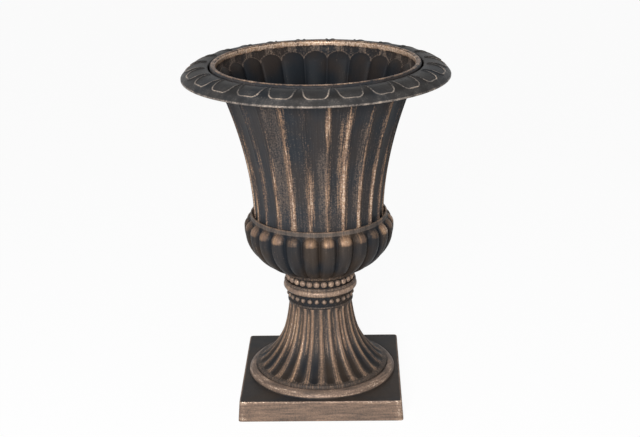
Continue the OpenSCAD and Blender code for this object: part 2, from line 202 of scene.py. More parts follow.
Z_SEAT, Z_SPIGOT = levels_mm("pedestal")
Z_CUP, Z_CUP_LIP = levels_mm("cup")
Z_POT, Z_LIP = levels_mm("bell")
Z_STEM_TOP = Z_SPIGOT - 5
Z_FLANGE = Z_LIP - 19
Z_THROAT = Z_LIP - 15
Z_CREST = Z_LIP - 3
levels = (Z_SEAT, Z_STEM_TOP, Z_CUP, Z_CUP_LIP, Z_FLANGE, Z_LIP)
print("Levels in mm:", [round(z, 1) for z in levels])


def mix(a, b, share):
    return a + (b - a) * share


def pitch(radius, count):
    return 2 * math.pi * radius / count


def arc(centre_r, centre_z, radius, start, stop, steps):
    """Points on a circle in the (radius, height) plane, from one angle in degrees to another."""
    angles = np.radians(np.linspace(start, stop, steps + 1))
    return [(centre_r + radius * math.cos(a), centre_z + radius * math.sin(a)) for a in angles]

# %% [markdown]
# ## Flutes and lobes by one rule
#
# A flute is a hollow that is deepest in its middle and dies away in a round arch, and a lobe is
# the same thing standing out instead of in. One formula gives both: with u running from -1 to 1
# across a flute and s from 0 to 1 up its arch, the depth goes as 1 - u² - s². It is written here
# once, for shapes and for paint.

# %% The flute's formula
def across(t, place, count, turn):
    """-1 and 1 at a flute's edges and 0 along its middle, from the angle round the axis."""
    angle = t.angle(place) - turn
    return (angle * (count / (2 * math.pi))).math("FRACT") * 2 - 1


def scoop_line(u, s):
    """0 on the outline of an arch, above 0 inside it."""
    return 1 - u * u - s * s


def scoop(u, s):
    """Share of a flute's full depth."""
    return scoop_line(u, s).math("MAXIMUM", 0.0)


def named(t, name):
    """A number that the mesh carries at each of its points."""
    if t.tree.bl_idname == "GeometryNodeTree":
        return t.node("GeometryNodeInputNamedAttribute", {"data_type": "FLOAT"}, {"Name": name})
    return t.node("ShaderNodeAttribute", {"attribute_name": name}, None, 2)


def new_group(name, *inputs):
    """An empty Geometry Nodes group with a geometry input, the named inputs and a material."""
    group = bpy.data.node_groups.new(name, "GeometryNodeTree")
    sockets = (("Geometry", "Geometry"), *((n, "Float") for n in inputs), ("Material", "Material"))
    for label, kind in sockets:
        group.interface.new_socket(label, in_out="INPUT", socket_type="NodeSocket" + kind)
    group.interface.new_socket("Geometry", in_out="OUTPUT", socket_type="NodeSocketGeometry")
    t = Tree(group)
    source = group.nodes.new("NodeGroupInput")
    return t, [Wire(t, source.outputs[i]) for i in range(len(sockets))]


def end_group(t, geometry, material):
    """Every tree ends alike: instances made real, smooth shading, and the material set."""
    whole = t.node("GeometryNodeRealizeInstances", None, {"Geometry": geometry})
    smooth = t.node("GeometryNodeSetShadeSmooth", None, {"Geometry": whole})
    painted = t.node("GeometryNodeSetMaterial", None, {"Geometry": smooth, "Material": material})
    outlet = t.tree.nodes.new("NodeGroupOutput")
    t.tree.links.new(painted.socket, outlet.inputs[0])
    return t.tree

# %% [markdown]
# The carving tree takes a plain turned shell and moves each of its points in or out by the
# formula. The shell tells it, point by point, how far it may move there (`rise`, in metres, below
# zero for a hollow) and how far up the arch the point is (`end`).

# %% The carving tree
def carving_tree():
    t, (shell, count, turn, fullness, paint) = new_group("Carve", "Count", "Turn", "Fullness")
    place = t.node("GeometryNodeInputPosition")
    share = scoop(across(t, place, count, turn), named(t, "end")) ** fullness
    x, y = t.split(place)[:2]
    radius = (x * x + y * y).math("SQRT").math("MAXIMUM", 1e-6)
    step = named(t, "rise") * share / radius
    values = {"Geometry": shell, "Offset": t.join(x * step, y * step, 0.0)}
    return end_group(t, t.node("GeometryNodeSetPosition", None, values), paint)


CARVE = carving_tree()
print("Carving tree:", len(CARVE.nodes), "nodes")

# %% [markdown]
# The plain shell is an outline of (radius, height) turned round the axis. Its columns of points
# fall exactly on the edges between flutes, so every edge stays crisp. The outline runs up the
# outside and down the inside, which makes all faces point outwards. One function, `carved`, turns,
# bores and carves the bell, the cup and the pedestal.

# %% Turning an outline
def new_piece(name, points, faces):
    mesh = bpy.data.meshes.new(name)
    mesh.from_pydata(points, [], faces)
    mesh.update()
    piece = bpy.data.objects.new(name, mesh)
    bpy.context.collection.objects.link(piece)
    return piece


def turned(outline, columns, turn, closed):
    """Points and faces of an outline in millimetres taken round the axis."""
    angles = turn + 2 * math.pi * np.arange(columns) / columns
    points = []
    for radius, height in outline:
        row = np.stack([radius * np.cos(angles), radius * np.sin(angles)], axis=1) * MM
        points += [(x, y, height * MM) for x, y in row.tolist()]
    faces = []
    rows = len(outline)
    for i in range(rows if closed else rows - 1):
        a, b = i * columns, (i + 1) % rows * columns
        for k in range(columns):
            n = (k + 1) % columns
            faces.append((a + k, a + n, b + n, b + k))
    return points, faces


def bored_floor(points, faces, columns, z_low, z_high, holes):
    """Closes a shell whose outline starts and ends at a floor, and bores holes through it."""
    first = [Vector(p) for p in points[:columns]]
    last_start = len(points) - columns
    last = [Vector(p) for p in points[last_start:]]
    steps = 32
    loops = []
    for x, y, radius in holes:
        loop = [(x + radius * math.cos(a), y + radius * math.sin(a))
                for a in 2 * math.pi * np.arange(steps) / steps]
        loops.append(loop)
    for ring, start, z, up in ((first, 0, z_low, False), (last, last_start, z_high, True)):
        ids = [start + k for k in range(columns)]
        rings = [ring]
        for loop in loops:
            ids += [len(points) + k for k in range(steps)]
            points += [(x * MM, y * MM, z * MM) for x, y in loop]
            rings.append([Vector((x * MM, y * MM, z * MM)) for x, y in loop])
        flat = [v for r in rings for v in r]
        for a, b, c in tessellate_polygon(rings):
            normal = (flat[b] - flat[a]).cross(flat[c] - flat[a])
            if (normal.z > 0) != up:
                b, c = c, b
            faces.append((ids[a], ids[b], ids[c]))
        if not up:
            low_holes = ids[columns:]
    high_holes = ids[columns:]
    for h in range(len(loops)):
        for k in range(steps):
            i, n = h * steps + k, h * steps + (k + 1) % steps
            faces.append((low_holes[i], high_holes[i], high_holes[n], low_holes[n]))


def set_inputs(modifier, values):
    """Sets a Geometry Nodes modifier's inputs, which it knows by identifier and not by name."""
    for item in modifier.node_group.interface.items_tree:
        if item.in_out == "INPUT" and item.name in values:
            modifier[item.identifier] = values[item.name]


def grown(piece, group, values, name):
    """Runs a Geometry Nodes tree on a piece and returns what it makes as a plain mesh."""
    modifier = piece.modifiers.new("tree", "NODES")
    modifier.node_group = group
    set_inputs(modifier, values)
    graph = bpy.context.evaluated_depsgraph_get()
    mesh = bpy.data.meshes.new_from_object(piece.evaluated_get(graph))
    mesh.name = name
    bpy.data.objects.remove(piece)
    finished = bpy.data.objects.new(name, mesh)
    bpy.context.collection.objects.link(finished)
    return finished


def carry(piece, **numbers):
    """Stores numbers on a piece's points, one for each of them."""
    for label, values in numbers.items():
        layer = piece.data.attributes.new(label, "FLOAT", "POINT")
        layer.data.foreach_set("value", np.asarray(values, dtype=np.float32))


def carved(name, rows, columns, count, turn, fullness, material, floor=None, **numbers):
    """A shell from rows of (radius, height, rise, end), with flutes or lobes carved in.

    floor gives a bored floor's low and high side and its holes. numbers gives more numbers that
    the mesh carries, one for each row.
    """
    points, faces = turned([row[:2] for row in rows], columns, turn, closed=floor is None)
    turned_points = len(points)
    if floor:
        bored_floor(points, faces, columns, *floor)
    plain = new_piece(name + "_plain", points, faces)
    numbers = {"rise": [row[2] * MM for row in rows], "end": [row[3] for row in rows], **numbers}
    on_floor = [0.0] * (len(points) - turned_points)
    carry(plain, **{label: [*np.repeat(values, columns), *on_floor]
                    for label, values in numbers.items()})
    return grown(plain, CARVE, {"Count": float(count), "Turn": turn, "Fullness": fullness,
                                "Material": material}, name + "_skin")


def fit_out(piece, slot, *nodes):
    """The piece stands for these CAD shells, and rides on the urn."""
    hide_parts(*nodes)
    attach(piece, "urn")
    print(piece.name, len(piece.data.polygons), "faces")


print("Turning, boring and carving ready")

# %% [markdown]
# ## The bronze finish
#
# The real shells are sprayed near-black, and then a nearly dry brush with copper paint is dragged
# over them. The brush catches ridges, beads and edges, skips hollows, and leaves streaks along its
# way and specks on the grain of the moulding. So the finish is not a texture laid on at random:
# each piece says where its surface would catch the brush, and one recipe breaks that up into
# streaks and specks. Colours are given as a paint chart gives them, from 0 to 255.

# %% Paint chart and brush
def paint(red, green, blue):
    """A paint chart's colour in the linear values that shaders use."""
    linear = [((c / 255 + 0.055) / 1.055) ** 2.4 for c in (red, green, blue)]
    return (*linear, 1.0)


SOOT = paint(34, 38, 43)
UMBER = paint(54, 46, 40)
FILM = paint(98, 90, 85)
WIPE = paint(118, 104, 94)
COPPER = paint(184, 147, 115)
ROSE_COPPER = paint(158, 129, 111)
PALE_COPPER = paint(222, 198, 176)


def turned_radius(t, place):
    x, y = t.split(place)[:2]
    return (x * x + y * y).math("SQRT").math("MAXIMUM", 1e-4)


def polar(t, place, around, along):
    """Space for noise on a turned piece. Streaks run the way that has the lower figure."""
    x, y, z = t.split(place)
    radius = turned_radius(t, place)
    return t.join(x / radius * around, y / radius * around, z * along)


def drawn(t, place, count, turn, seed):
    """A number from 0 to 1, drawn for each of count equal sectors round the axis."""
    sector = ((t.angle(place) - turn) / (2 * math.pi)).math("FRACT") * count
    return t.node("ShaderNodeTexWhiteNoise", {"noise_dimensions": "1D"},
                  {"W": sector.math("FLOOR") + seed})


def empty_material(name):
    """A material without nodes, and the tree that fills it."""
    material = bpy.data.materials.new(name)
    material.use_nodes = True
    material.node_tree.nodes.clear()
    return material, Tree(material.node_tree)


def bronze(name, brushed, streak_space, speckle=1.0, umber=UMBER, film=FILM, wipe=WIPE,
           copper=COPPER, rose=ROSE_COPPER):
    """Near-black paint, a grey-brown wipe over it, and copper where the brush catches.

    brushed takes the tree and Object coordinates and gives three numbers from 0 to 1: how readily
    a point takes copper, how much of the speckled wipe is left on it, and how thick the smooth
    film under both is. streak_space takes the same and gives the space in which the strokes are
    drawn out. speckle says how far specks and streaks break up the copper.
    """
    material, t = empty_material(name)
    place = t.node("ShaderNodeTexCoord", None, None, 3)
    copper_share, wipe_share, film_share = brushed(t, place)
    patches = t.noise(place, 16.0, 2.0)
    grain = t.noise(place, 420.0, 3.0, 0.7)
    streaks = t.noise(streak_space(t, place), 1.0, 4.0, 0.62)
    body = t.mix(patches.ramp(0.38, 0.62), SOOT, umber)
    body = t.mix((film_share * (streaks * 1.6 + 0.2)).clamp(), body, film)
    wiped = (wipe_share * 1.3 + (grain - 0.5) * 2.2 + (streaks - 0.5) * 1.2).ramp(0.3, 1.1)
    body = t.mix(wiped * 0.85, body, wipe)
    broken = ((streaks - 0.5) * 1.6 + (grain - 0.5) * 1.3) * speckle
    caught = (copper_share * 1.5 + broken).ramp(0.42 * speckle, 1.2)
    tint = t.mix(streaks.ramp(0.35, 0.65), rose, copper)
    tint = t.mix(caught.ramp(0.8, 1.0) * grain.ramp(0.42, 0.6), tint, PALE_COPPER)
    shade = t.mix(caught * 0.92, body, tint)
    relief = t.node("ShaderNodeBump", None, {
        "Strength": 0.3, "Distance": 0.0006, "Height": grain + caught * 0.4})
    surface = t.node("ShaderNodeBsdfPrincipled", None, {
        "Base Color": shade, "Roughness": 0.42 - caught * 0.1, "Metallic": caught * 0.2,
        "Specular IOR Level": 0.05, "Normal": relief})
    t.node("ShaderNodeOutputMaterial", None, {"Surface": surface})
    return material


print("Paint chart ready")

# %% [markdown]
# ## The bell
#
# The bell is the pot itself: 24 hollow flutes that follow a trumpet curve, end in round arches
# under the lip, and show on the inside as swellings with arched shoulders, because the wall is
# thin and moulded. Its outline runs up the outside, round the flange that the rim is screwed to,
# over the rolled lip and down the inside to the floor.

# %% The bell's outline
BELL_FOOT_R, BELL_NECK_R, BELL_FLOOR_R = 101, 153, 54
BELL_FLARE = 1.8
BELL_WALL, BELL_FLOOR = 4, 5
FLUTE_DEPTH = 0.15
Z_BOWL_TOP = Z_CUP_LIP - 15
BOWL_DROP = Z_BOWL_TOP - Z_POT
BOWL_REACH = BELL_FOOT_R - BELL_FLOOR_R
BOWL_RADIUS = (BOWL_REACH ** 2 + BOWL_DROP ** 2) / (2 * BOWL_REACH)
BOWL_CENTRE = BELL_FOOT_R - BOWL_RADIUS
ARCH_HEIGHT = 13
Z_ARCH = Z_THROAT - 1.5 - ARCH_HEIGHT
FLANGE_R, FLANGE_THICK = 177, 3.5
NECK_R, LIP_OUT_R, LIP_IN_R, LIP_SKIRT = 152.4, 158.6, 149.6, 11
ROLL_R, ROLL_CENTRE = 4.5, 154.1


def bell_radius(z):
    share = max(0.0, (z - Z_CUP_LIP) / (Z_THROAT - Z_CUP_LIP)) ** BELL_FLARE
    return mix(BELL_FOOT_R, BELL_NECK_R, share)


def flute_depth(z):
    return FLUTE_DEPTH * pitch(bell_radius(z), FLUTES)


def bell_side(inset, z_floor, arch_top):
    """Rows of (radius, height, rise, end) from the floor up, on one face of the wall."""
    radius = BOWL_RADIUS - inset
    low = math.asin((Z_BOWL_TOP - z_floor) / radius)
    rows = []
    for a in np.linspace(low, 0, 10):
        rows.append((BOWL_CENTRE + radius * math.cos(a), Z_BOWL_TOP - radius * math.sin(a), 0, 0))
    skirt = np.linspace(Z_BOWL_TOP + 4, Z_CUP_LIP - 6, 3)
    flare = np.linspace(Z_CUP_LIP - 4, Z_ARCH, 56)
    for z in (*skirt, *flare):
        start = min(1.0, (z - Z_BOWL_TOP) / 11)
        rows.append((bell_radius(z) - inset, z, -start * flute_depth(z), 0))
    for s in np.linspace(0, arch_top, int(28 * arch_top) + 1)[1:]:
        z = Z_ARCH + s * ARCH_HEIGHT
        rows.append((bell_radius(z) - inset, z, -flute_depth(z), s))
    return rows


outside = bell_side(0, Z_POT, (Z_FLANGE - FLANGE_THICK - Z_ARCH) / ARCH_HEIGHT)
inside = bell_side(BELL_WALL, Z_POT + BELL_FLOOR, 1.0)[::-1]
flange = [(FLANGE_R - 0.4, Z_FLANGE - FLANGE_THICK), (FLANGE_R, Z_FLANGE - FLANGE_THICK + 0.4),
          (FLANGE_R, Z_FLANGE - 0.4), (FLANGE_R - 0.4, Z_FLANGE), (NECK_R + 0.2, Z_FLANGE),
          (NECK_R, Z_FLANGE + 0.3), (NECK_R, Z_LIP - LIP_SKIRT),
          (LIP_OUT_R - 0.3, Z_LIP - LIP_SKIRT), (LIP_OUT_R, Z_LIP - LIP_SKIRT + 0.3)]
roll = arc(ROLL_CENTRE, Z_LIP - ROLL_R, ROLL_R, 0, 180, 14)
throat = [(LIP_IN_R, Z_LIP - 10), (LIP_IN_R, Z_THROAT + 3), (LIP_IN_R - 0.5, Z_THROAT + 2)]
bell_rows = outside + [(r, z, 0, 1) for r, z in flange + roll + throat] + inside
print("Bell outline:", len(bell_rows), "rows, lip", round(2 * LIP_OUT_R), "mm across")

# %% [markdown]
# The brush catches the edges between the flutes, more in the lower half, where the flutes are
# narrow and the painter's hand comes up from the cup. Each flute and each edge has taken its own
# share, so a number drawn from its place in the row sets its tone. Inside, the wall over the
# arches and the arches' own outlines are wiped pale, with drips, and the swellings stay nearly
# black. A few broad strokes that stand out on the real bell are listed one by one.

# %% The bell's paint
# Angle from the front and half width, both in flutes, then lowest and highest point in mm, and
# how much copper and wipe the stroke leaves
BROAD_STROKES = (
    (1.22, 0.27, 320, 496, 0.38, 0.30),
    (0.50, 0.17, 436, 512, 0.40, 0.15),
    (-0.30, 0.15, 312, 405, 0.30, 0.20),
    (-2.00, 0.45, 312, 515, 0.05, 0.36),
    (0.24, 0.28, 312, 440, 0.03, 0.30),
    (2.22, 0.24, 312, 480, 0.03, 0.30),
    (-3.30, 0.14, 330, 500, 0.16, 0.15),
    (9.6, 0.24, 340, 480, 0.32, 0.25),
    (14.4, 0.22, 330, 470, 0.28, 0.25),
    (-8.3, 0.18, 360, 500, 0.32, 0.20),
)


def broad_strokes(t, place):
    """The copper and the wipe that the strokes above leave at a place."""
    z = t.height(place)
    index = (t.angle(place) - FRONT) * (FLUTES / (2 * math.pi))
    copper, wipe = 0.0, 0.0
    for angle, width, z_low, z_high, copper_left, wipe_left in BROAD_STROKES:
        aside = abs((index - angle + 1.5 * FLUTES).math("MODULO", FLUTES) - FLUTES / 2)
        starts = z.ramp(z_low * MM - 0.02, z_low * MM + 0.03)
        stops = z.ramp(z_high * MM - 0.03, z_high * MM + 0.01)
        stroke = (1 - aside.ramp(width * 0.5, width * 1.2)) * starts * (1 - stops)
        copper = stroke * copper_left + copper
        wipe = stroke * wipe_left + wipe
    return copper, wipe


def bell_brush(t, place):
    z = t.height(place)
    u = across(t, place, FLUTES, FRONT - HALF_FLUTE)
    end, inner = named(t, "end"), named(t, "inner")
    low = 1 - z.ramp(0.33, 0.47)
    edge_share = drawn(t, place, FLUTES, FRONT, 40)
    flute_share = drawn(t, place, FLUTES, FRONT - HALF_FLUTE, 7)
    worn = t.noise(polar(t, place, 40, 12), 1.0, 3.0)
    edge = abs(u).ramp(0.3, 0.95) * (0.08 + 0.28 * low + edge_share * 0.26 + (worn - 0.3) * 0.6)
    copper, wipe = broad_strokes(t, place)
    copper = edge + copper
    wipe = wipe + edge * 0.5 + low * 0.12 + flute_share.ramp(0.4, 1.0) * 0.34
    film = 0.1 + (1 - flute_share) * 0.24 + low * 0.08
    arch = (1 - abs(scoop_line(u, end)).ramp(0.03, 0.2)) * end.ramp(0.0, 0.25)
    above = (1 - scoop_line(u, end).ramp(-0.1, 0.1)) * end.ramp(0.0, 0.1)
    drips = t.noise(polar(t, place, 60, 9), 1.0, 3.0).ramp(0.35, 0.62)
    throat = z.ramp((Z_LIP - 10) * MM, (Z_LIP - 6) * MM)
    copper_inside = arch * 0.12 + above * drips * 0.2 + throat * 0.75
    wipe_inside = arch * 0.4 + above * 0.24 + throat * 0.3 + abs(u).ramp(0.85, 1.0) * 0.1
    lip = z.ramp((Z_LIP - 9) * MM, (Z_LIP - 7) * MM) * (1 - inner)
    # Along the top of the lip's roll: copper and a painted highlight
    crest_copper_and_highlight = z.ramp((Z_LIP - 1.4) * MM, (Z_LIP - 0.5) * MM)
    copper = copper * (1 - lip) + lip * (0.12 + crest_copper_and_highlight * 0.44)
    wipe = wipe * (1 - lip) + lip * (0.2 + crest_copper_and_highlight * 0.4)
    outer = 1 - inner
    return (copper * outer + copper_inside * inner, wipe * outer + wipe_inside * inner,
            film * outer + inner * 0.02)


def bell_strokes(t, place):
    """Strokes run up the bell, but round its lip."""
    lip = t.height(place).ramp((Z_LIP - 11) * MM, (Z_LIP - 9) * MM)
    return polar(t, place, 70 - 58 * lip, 26 + 200 * lip)


bell_paint = bronze("bronze_bell", bell_brush, bell_strokes, umber=paint(50, 44, 41),
                    film=paint(86, 88, 92), copper=paint(178, 141, 110), rose=paint(150, 123, 107))

# %% The bell's mesh
BOLT_HOLE_R, DRAIN_CIRCLE_R = 4.5, 30
COLUMNS_PER_FLUTE = 20


def floor_holes(drain_r):
    """The tie bolt's hole and four drain holes, each as (x, y, radius)."""
    drains = [(DRAIN_CIRCLE_R * math.cos(turn), DRAIN_CIRCLE_R * math.sin(turn), drain_r)
              for turn in FRONT + np.arange(4) * math.pi / 2]
    return [(0, 0, BOLT_HOLE_R), *drains]


# The inside begins on the far side of the lip's roll, after 11 of its 15 points
first_inner = len(outside) + len(flange) + 11
bell = carved("bell", bell_rows, FLUTES * COLUMNS_PER_FLUTE, FLUTES, FRONT - HALF_FLUTE,
              fullness=0.6, material=bell_paint,
              floor=(Z_POT, Z_POT + BELL_FLOOR, floor_holes(drain_r=6)),
              inner=[float(i >= first_inner) for i in range(len(bell_rows))])
fit_out(bell, "bell_bronze", "bell")

# %% [markdown]
# ## The cup
#
# The cup is a bowl of upright lobes under a smooth band, and the bell drops into it. The CAD shell
# has 28 lobes, but the photograph, counted again, has 26, so 26 are made here. A lobe is a flute
# turned inside out, so the same tree makes it, with a fullness under 1 that gives the lobes broad
# backs and tight grooves. Its rows are close together where the bowl turns under.

# %% The cup's outline
CUP_WIDEST = Z_CUP_LIP - 25
CUP_BAND = Z_CUP_LIP - 8
CUP_R, CUP_FOOT_R, CUP_BAND_R, CUP_SEAT_R = 116.2, 59, 106.2, 42.4
CUP_FOOT_HEIGHT = 5
CUP_LIP_ROLL = 1.8
LOBE_DEPTH = 8
LOBE_ARCH = 12
GROOVE_R = CUP_R - LOBE_DEPTH
HOLLOW_R, HOLLOW_CENTRE, HOLLOW_SWEEP = 78.7, 23.9, 64.43
Z_CUP_FLOOR = Z_CUP + CUP_FOOT_HEIGHT

cup_foot = [(CUP_SEAT_R, Z_CUP_FLOOR), (CUP_SEAT_R, Z_CUP), (CUP_FOOT_R - 0.6, Z_CUP),
            (CUP_FOOT_R, Z_CUP + 0.6), (CUP_FOOT_R, Z_CUP_FLOOR - 0.6),
            (CUP_FOOT_R - 0.6, Z_CUP_FLOOR)]
cup_rows = [(r, z, 0, 0) for r, z in cup_foot]
for turn_up in np.radians(np.linspace(90, 0, 56)[1:]):
    radius = mix(CUP_FOOT_R, CUP_R, math.cos(turn_up) ** 1.44)
    rise = LOBE_DEPTH * radius / CUP_R
    z = mix(CUP_WIDEST, Z_CUP_FLOOR, math.sin(turn_up))
    cup_rows.append((radius - rise, z, rise, 0))
for z in (CUP_WIDEST + 1.7, CUP_WIDEST + 3.4):
    cup_rows.append((GROOVE_R, z, LOBE_DEPTH, 0))
for s in np.linspace(0, 1, 26):
    radius = mix(GROOVE_R, CUP_BAND_R + 0.8, s)
    cup_rows.append((radius, CUP_BAND - (1 - s) * LOBE_ARCH, LOBE_DEPTH, s))
cup_top = [(CUP_BAND_R, CUP_BAND + 0.3), (CUP_BAND_R, CUP_BAND + 3)]
cup_top += arc(CUP_BAND_R - CUP_LIP_ROLL, Z_CUP_LIP - CUP_LIP_ROLL, CUP_LIP_ROLL, 0, 180, 8)
cup_top += arc(HOLLOW_CENTRE, Z_BOWL_TOP, HOLLOW_R, 0, -HOLLOW_SWEEP, 14)
cup_rows += [(r, z, 0, 1) for r, z in cup_top]
print("Cup outline:", len(cup_rows), "rows")

# %% [markdown]
# Copper sits on the domed tops of the lobes, as soft blobs that end in a sharper lower edge,
# where a brush drawn round the cup touches first; the blobs are also a painted highlight of the
# lit domes. Their backs take a little copper, and the grooves between them stay dark. The band
# above is wiped grey-brown, and its lip is paler.

# %% The cup's paint
def cup_brush(t, place):
    z = t.height(place)
    u = across(t, place, LOBES, FRONT)
    own = drawn(t, place, LOBES, FRONT, 9)
    back = 1 - abs(u).ramp(0.45, 0.9)
    high = (z - (CUP_BAND - 7.5) * MM) / (13 * MM)
    # The blob is copper and also a painted highlight on the lobes' lit domes
    copper_and_highlight_blob = (1 - (u * u * 0.8 + high * high).math("SQRT").ramp(0.15, 1.1)) * z.ramp(
        (CUP_BAND - 15.5) * MM, (CUP_BAND - 12) * MM)
    belly = z.ramp((Z_CUP + 12) * MM, (CUP_BAND - 30) * MM)
    band = z.ramp((CUP_BAND + 0.4) * MM, (CUP_BAND + 1.4) * MM)
    lip = z.ramp((Z_CUP_LIP - 2.4) * MM, (Z_CUP_LIP - 0.8) * MM)
    ring = 1 - z.ramp((Z_CUP + 5) * MM, (Z_CUP + 6) * MM)
    copper = copper_and_highlight_blob * (0.27 + own * 0.32) + back * belly * own * own * 0.24 + lip * 0.3 + ring * 0.24
    wipe = back * belly * own * 0.2 + band * 0.34 + ring * 0.3
    film = back * (0.16 + own * 0.16) + band * 0.6
    return copper, wipe, film


cup_paint = bronze("bronze_cup", cup_brush, lambda t, place: polar(t, place, 40, 30), speckle=0.4)

# %% The cup's mesh
COLUMNS_PER_LOBE = 18
cup = carved("cup", cup_rows, LOBES * COLUMNS_PER_LOBE, LOBES, FRONT, fullness=0.65,
             material=cup_paint, floor=(Z_CUP_FLOOR, Z_POT, floor_holes(drain_r=6.75)))
fit_out(cup, "cup_bronze", "cup")

# %% [markdown]
# ## The pedestal
#
# The pedestal is a fluted stem that spreads to a flat foot ring. Its flutes are scooped out at
# both ends within a few millimetres, which leaves a scalloped edge over the foot ring. It is
# hollow, so its outline is a closed loop and needs no floor.

# %% The pedestal's outline
Z_FOOT_TOP = Z_SEAT + 8
STEM_HEIGHT = Z_STEM_TOP - Z_FOOT_TOP
STEM_TOP_R, STEM_FOOT_R = 49.25, 98.5
STEM_FLUTE_DEPTH = 0.2
STEM_WALL = 5
SCOOP_HEIGHT = 7
FOOT_RING_R = 104.5
SPIGOT_R, SPIGOT_WALL = 37.6, 4


def stem_radius(s):
    """The stem's radius over its ridges, with s from 0 at its top to 1 at its foot."""
    return mix(STEM_TOP_R, STEM_FOOT_R, 0.28 * s + 0.72 * s ** 3.1)


def stem_depth(s):
    return STEM_FLUTE_DEPTH * pitch(stem_radius(s), FLUTES)


def stem_hollow(s):
    return stem_radius(s) - stem_depth(s) - STEM_WALL


foot_ring = [(stem_hollow(1), Z_SEAT), (FOOT_RING_R - 0.5, Z_SEAT), (FOOT_RING_R, Z_SEAT + 0.5),
             (FOOT_RING_R, Z_FOOT_TOP - 1.5), (FOOT_RING_R - 0.4, Z_FOOT_TOP - 0.6),
             (FOOT_RING_R - 1.3, Z_FOOT_TOP)]
stem = []
for s in (*np.linspace(1, 0.93, 16), *np.linspace(0.92, 0.08, 72), *np.linspace(0.07, 0, 16)):
    end = min(1.0, max(0.0, 1 - min(s, 1 - s) * STEM_HEIGHT / SCOOP_HEIGHT))
    stem.append((stem_radius(s), Z_STEM_TOP - s * STEM_HEIGHT, -stem_depth(s), end))
spigot = [(SPIGOT_R + 0.2, Z_STEM_TOP), (SPIGOT_R, Z_STEM_TOP + 0.2), (SPIGOT_R, Z_SPIGOT - 0.4),
          (SPIGOT_R - 0.4, Z_SPIGOT), (SPIGOT_R - SPIGOT_WALL, Z_SPIGOT),
          (SPIGOT_R - SPIGOT_WALL, Z_STEM_TOP - 5.2)]
bore = [(stem_hollow(s), Z_STEM_TOP - s * STEM_HEIGHT)
        for s in (0.05, 0.3, 0.48, 0.62, 0.74, 0.84, 0.93, 1.0)]
pedestal_rows = [(r, z, 0, 1) for r, z in foot_ring] + stem
pedestal_rows += [(r, z, 0, 1) for r, z in spigot + bore]
print("Pedestal outline:", len(pedestal_rows), "rows")

# %% [markdown]
# The ridges are caught over their whole height. Where the stem is slim the brush also reaches
# the middle of each hollow, more in some than in others. Between that and the ridge's copper a
# thin dark line is left beside each ridge, a painted shade of the flute's wall. Towards the foot
# the hollows turn black down to their scooped ends. The scalloped edge of the foot ring is pale.

# %% The pedestal's paint
def pedestal_brush(t, place):
    z = t.height(place)
    u = abs(across(t, place, FLUTES, FRONT))
    own = drawn(t, place, FLUTES, FRONT, 23)
    end = named(t, "end")
    high = z.ramp((Z_FOOT_TOP + 14) * MM, (Z_FOOT_TOP + 52) * MM)
    top = z.ramp((Z_STEM_TOP - 16) * MM, Z_STEM_TOP * MM)
    ridge = u.ramp(0.16, 0.9)
    # Where middle and ridge both fade, a thin dark line of painted shade stays beside each ridge
    middle = (1 - u.ramp(0.14, 0.5)) * high * (1 - top * 0.6)
    ring = 1 - z.ramp((Z_FOOT_TOP - 0.2) * MM, (Z_FOOT_TOP + 0.4) * MM)
    scallop = (1 - abs(scoop_line(u, end)).ramp(0.0, 0.3)) * end.ramp(0.2, 0.6) * (1 - high)
    copper = ridge * (0.38 + high * 0.12 + own * 0.14) + middle * (0.22 + own * 0.5)
    copper = copper + scallop * 0.06
    wipe = ridge * 0.3 + middle * 0.4 + scallop * 0.4
    film = ridge * 0.4 + high * 0.4 + 0.03
    flat = 1 - ring
    return copper * flat + ring * 0.28, wipe * flat + ring * 0.3, film * flat + ring * 0.5


pedestal_paint = bronze("bronze_pedestal", pedestal_brush,
                        lambda t, place: polar(t, place, 46, 22), speckle=0.7)

# %% The pedestal's mesh
pedestal = carved("pedestal", pedestal_rows, FLUTES * COLUMNS_PER_FLUTE, FLUTES, FRONT,
                  fullness=1.4, material=pedestal_paint)
fit_out(pedestal, "pedestal_bronze", "pedestal")

# %% [markdown]
# ## The collar
#
# The collar joins pedestal and cup: a row of beads above a round band, a thin fillet, and a row
# of smaller beads below. The core is a turned outline. The beads repeat, so a Geometry Nodes tree
# puts one sphere on each point of a circle.

# %% The collar's paint
Z_BAND = Z_STEM_TOP + 27.56


def collar_brush(t, place):
    z = t.height(place)
    radius = turned_radius(t, place)
    proud = radius.ramp(0.0494, 0.0526)
    fillet = z.ramp((Z_BAND + 4.6) * MM, (Z_BAND + 5.4) * MM) * (
        1 - z.ramp((Z_BAND + 8.6) * MM, (Z_BAND + 9.4) * MM))
    band = z.ramp((Z_BAND - 6) * MM, (Z_BAND - 5) * MM) * (
        1 - z.ramp((Z_BAND + 9) * MM, (Z_BAND + 10) * MM))
    # A painted highlight along the band's outer face and on the beads' crowns
    crown_highlight = radius.ramp(0.0553, 0.0570) + radius.ramp(0.0516, 0.0535) * (1 - band)
    copper = proud * (0.4 - fillet * 0.2) + crown_highlight * 0.18
    wipe = proud * 0.3 + 0.1
    return copper, wipe, proud * 0.4 + 0.1


collar_paint = bronze("bronze_collar", collar_brush, lambda t, place: polar(t, place, 16, 90),
                      speckle=0.5, copper=paint(188, 158, 134), rose=paint(164, 139, 124))

# %% The collar's core
COLLAR_R, COLLAR_BORE_R, COLLAR_SPIGOT_R, COLLAR_TOP_R = 49.5, 38, 42, 47.5
BAND_ROLL, FILLET_ROLL, FOOT_ROLL = 5.5, 2.2, 2.7

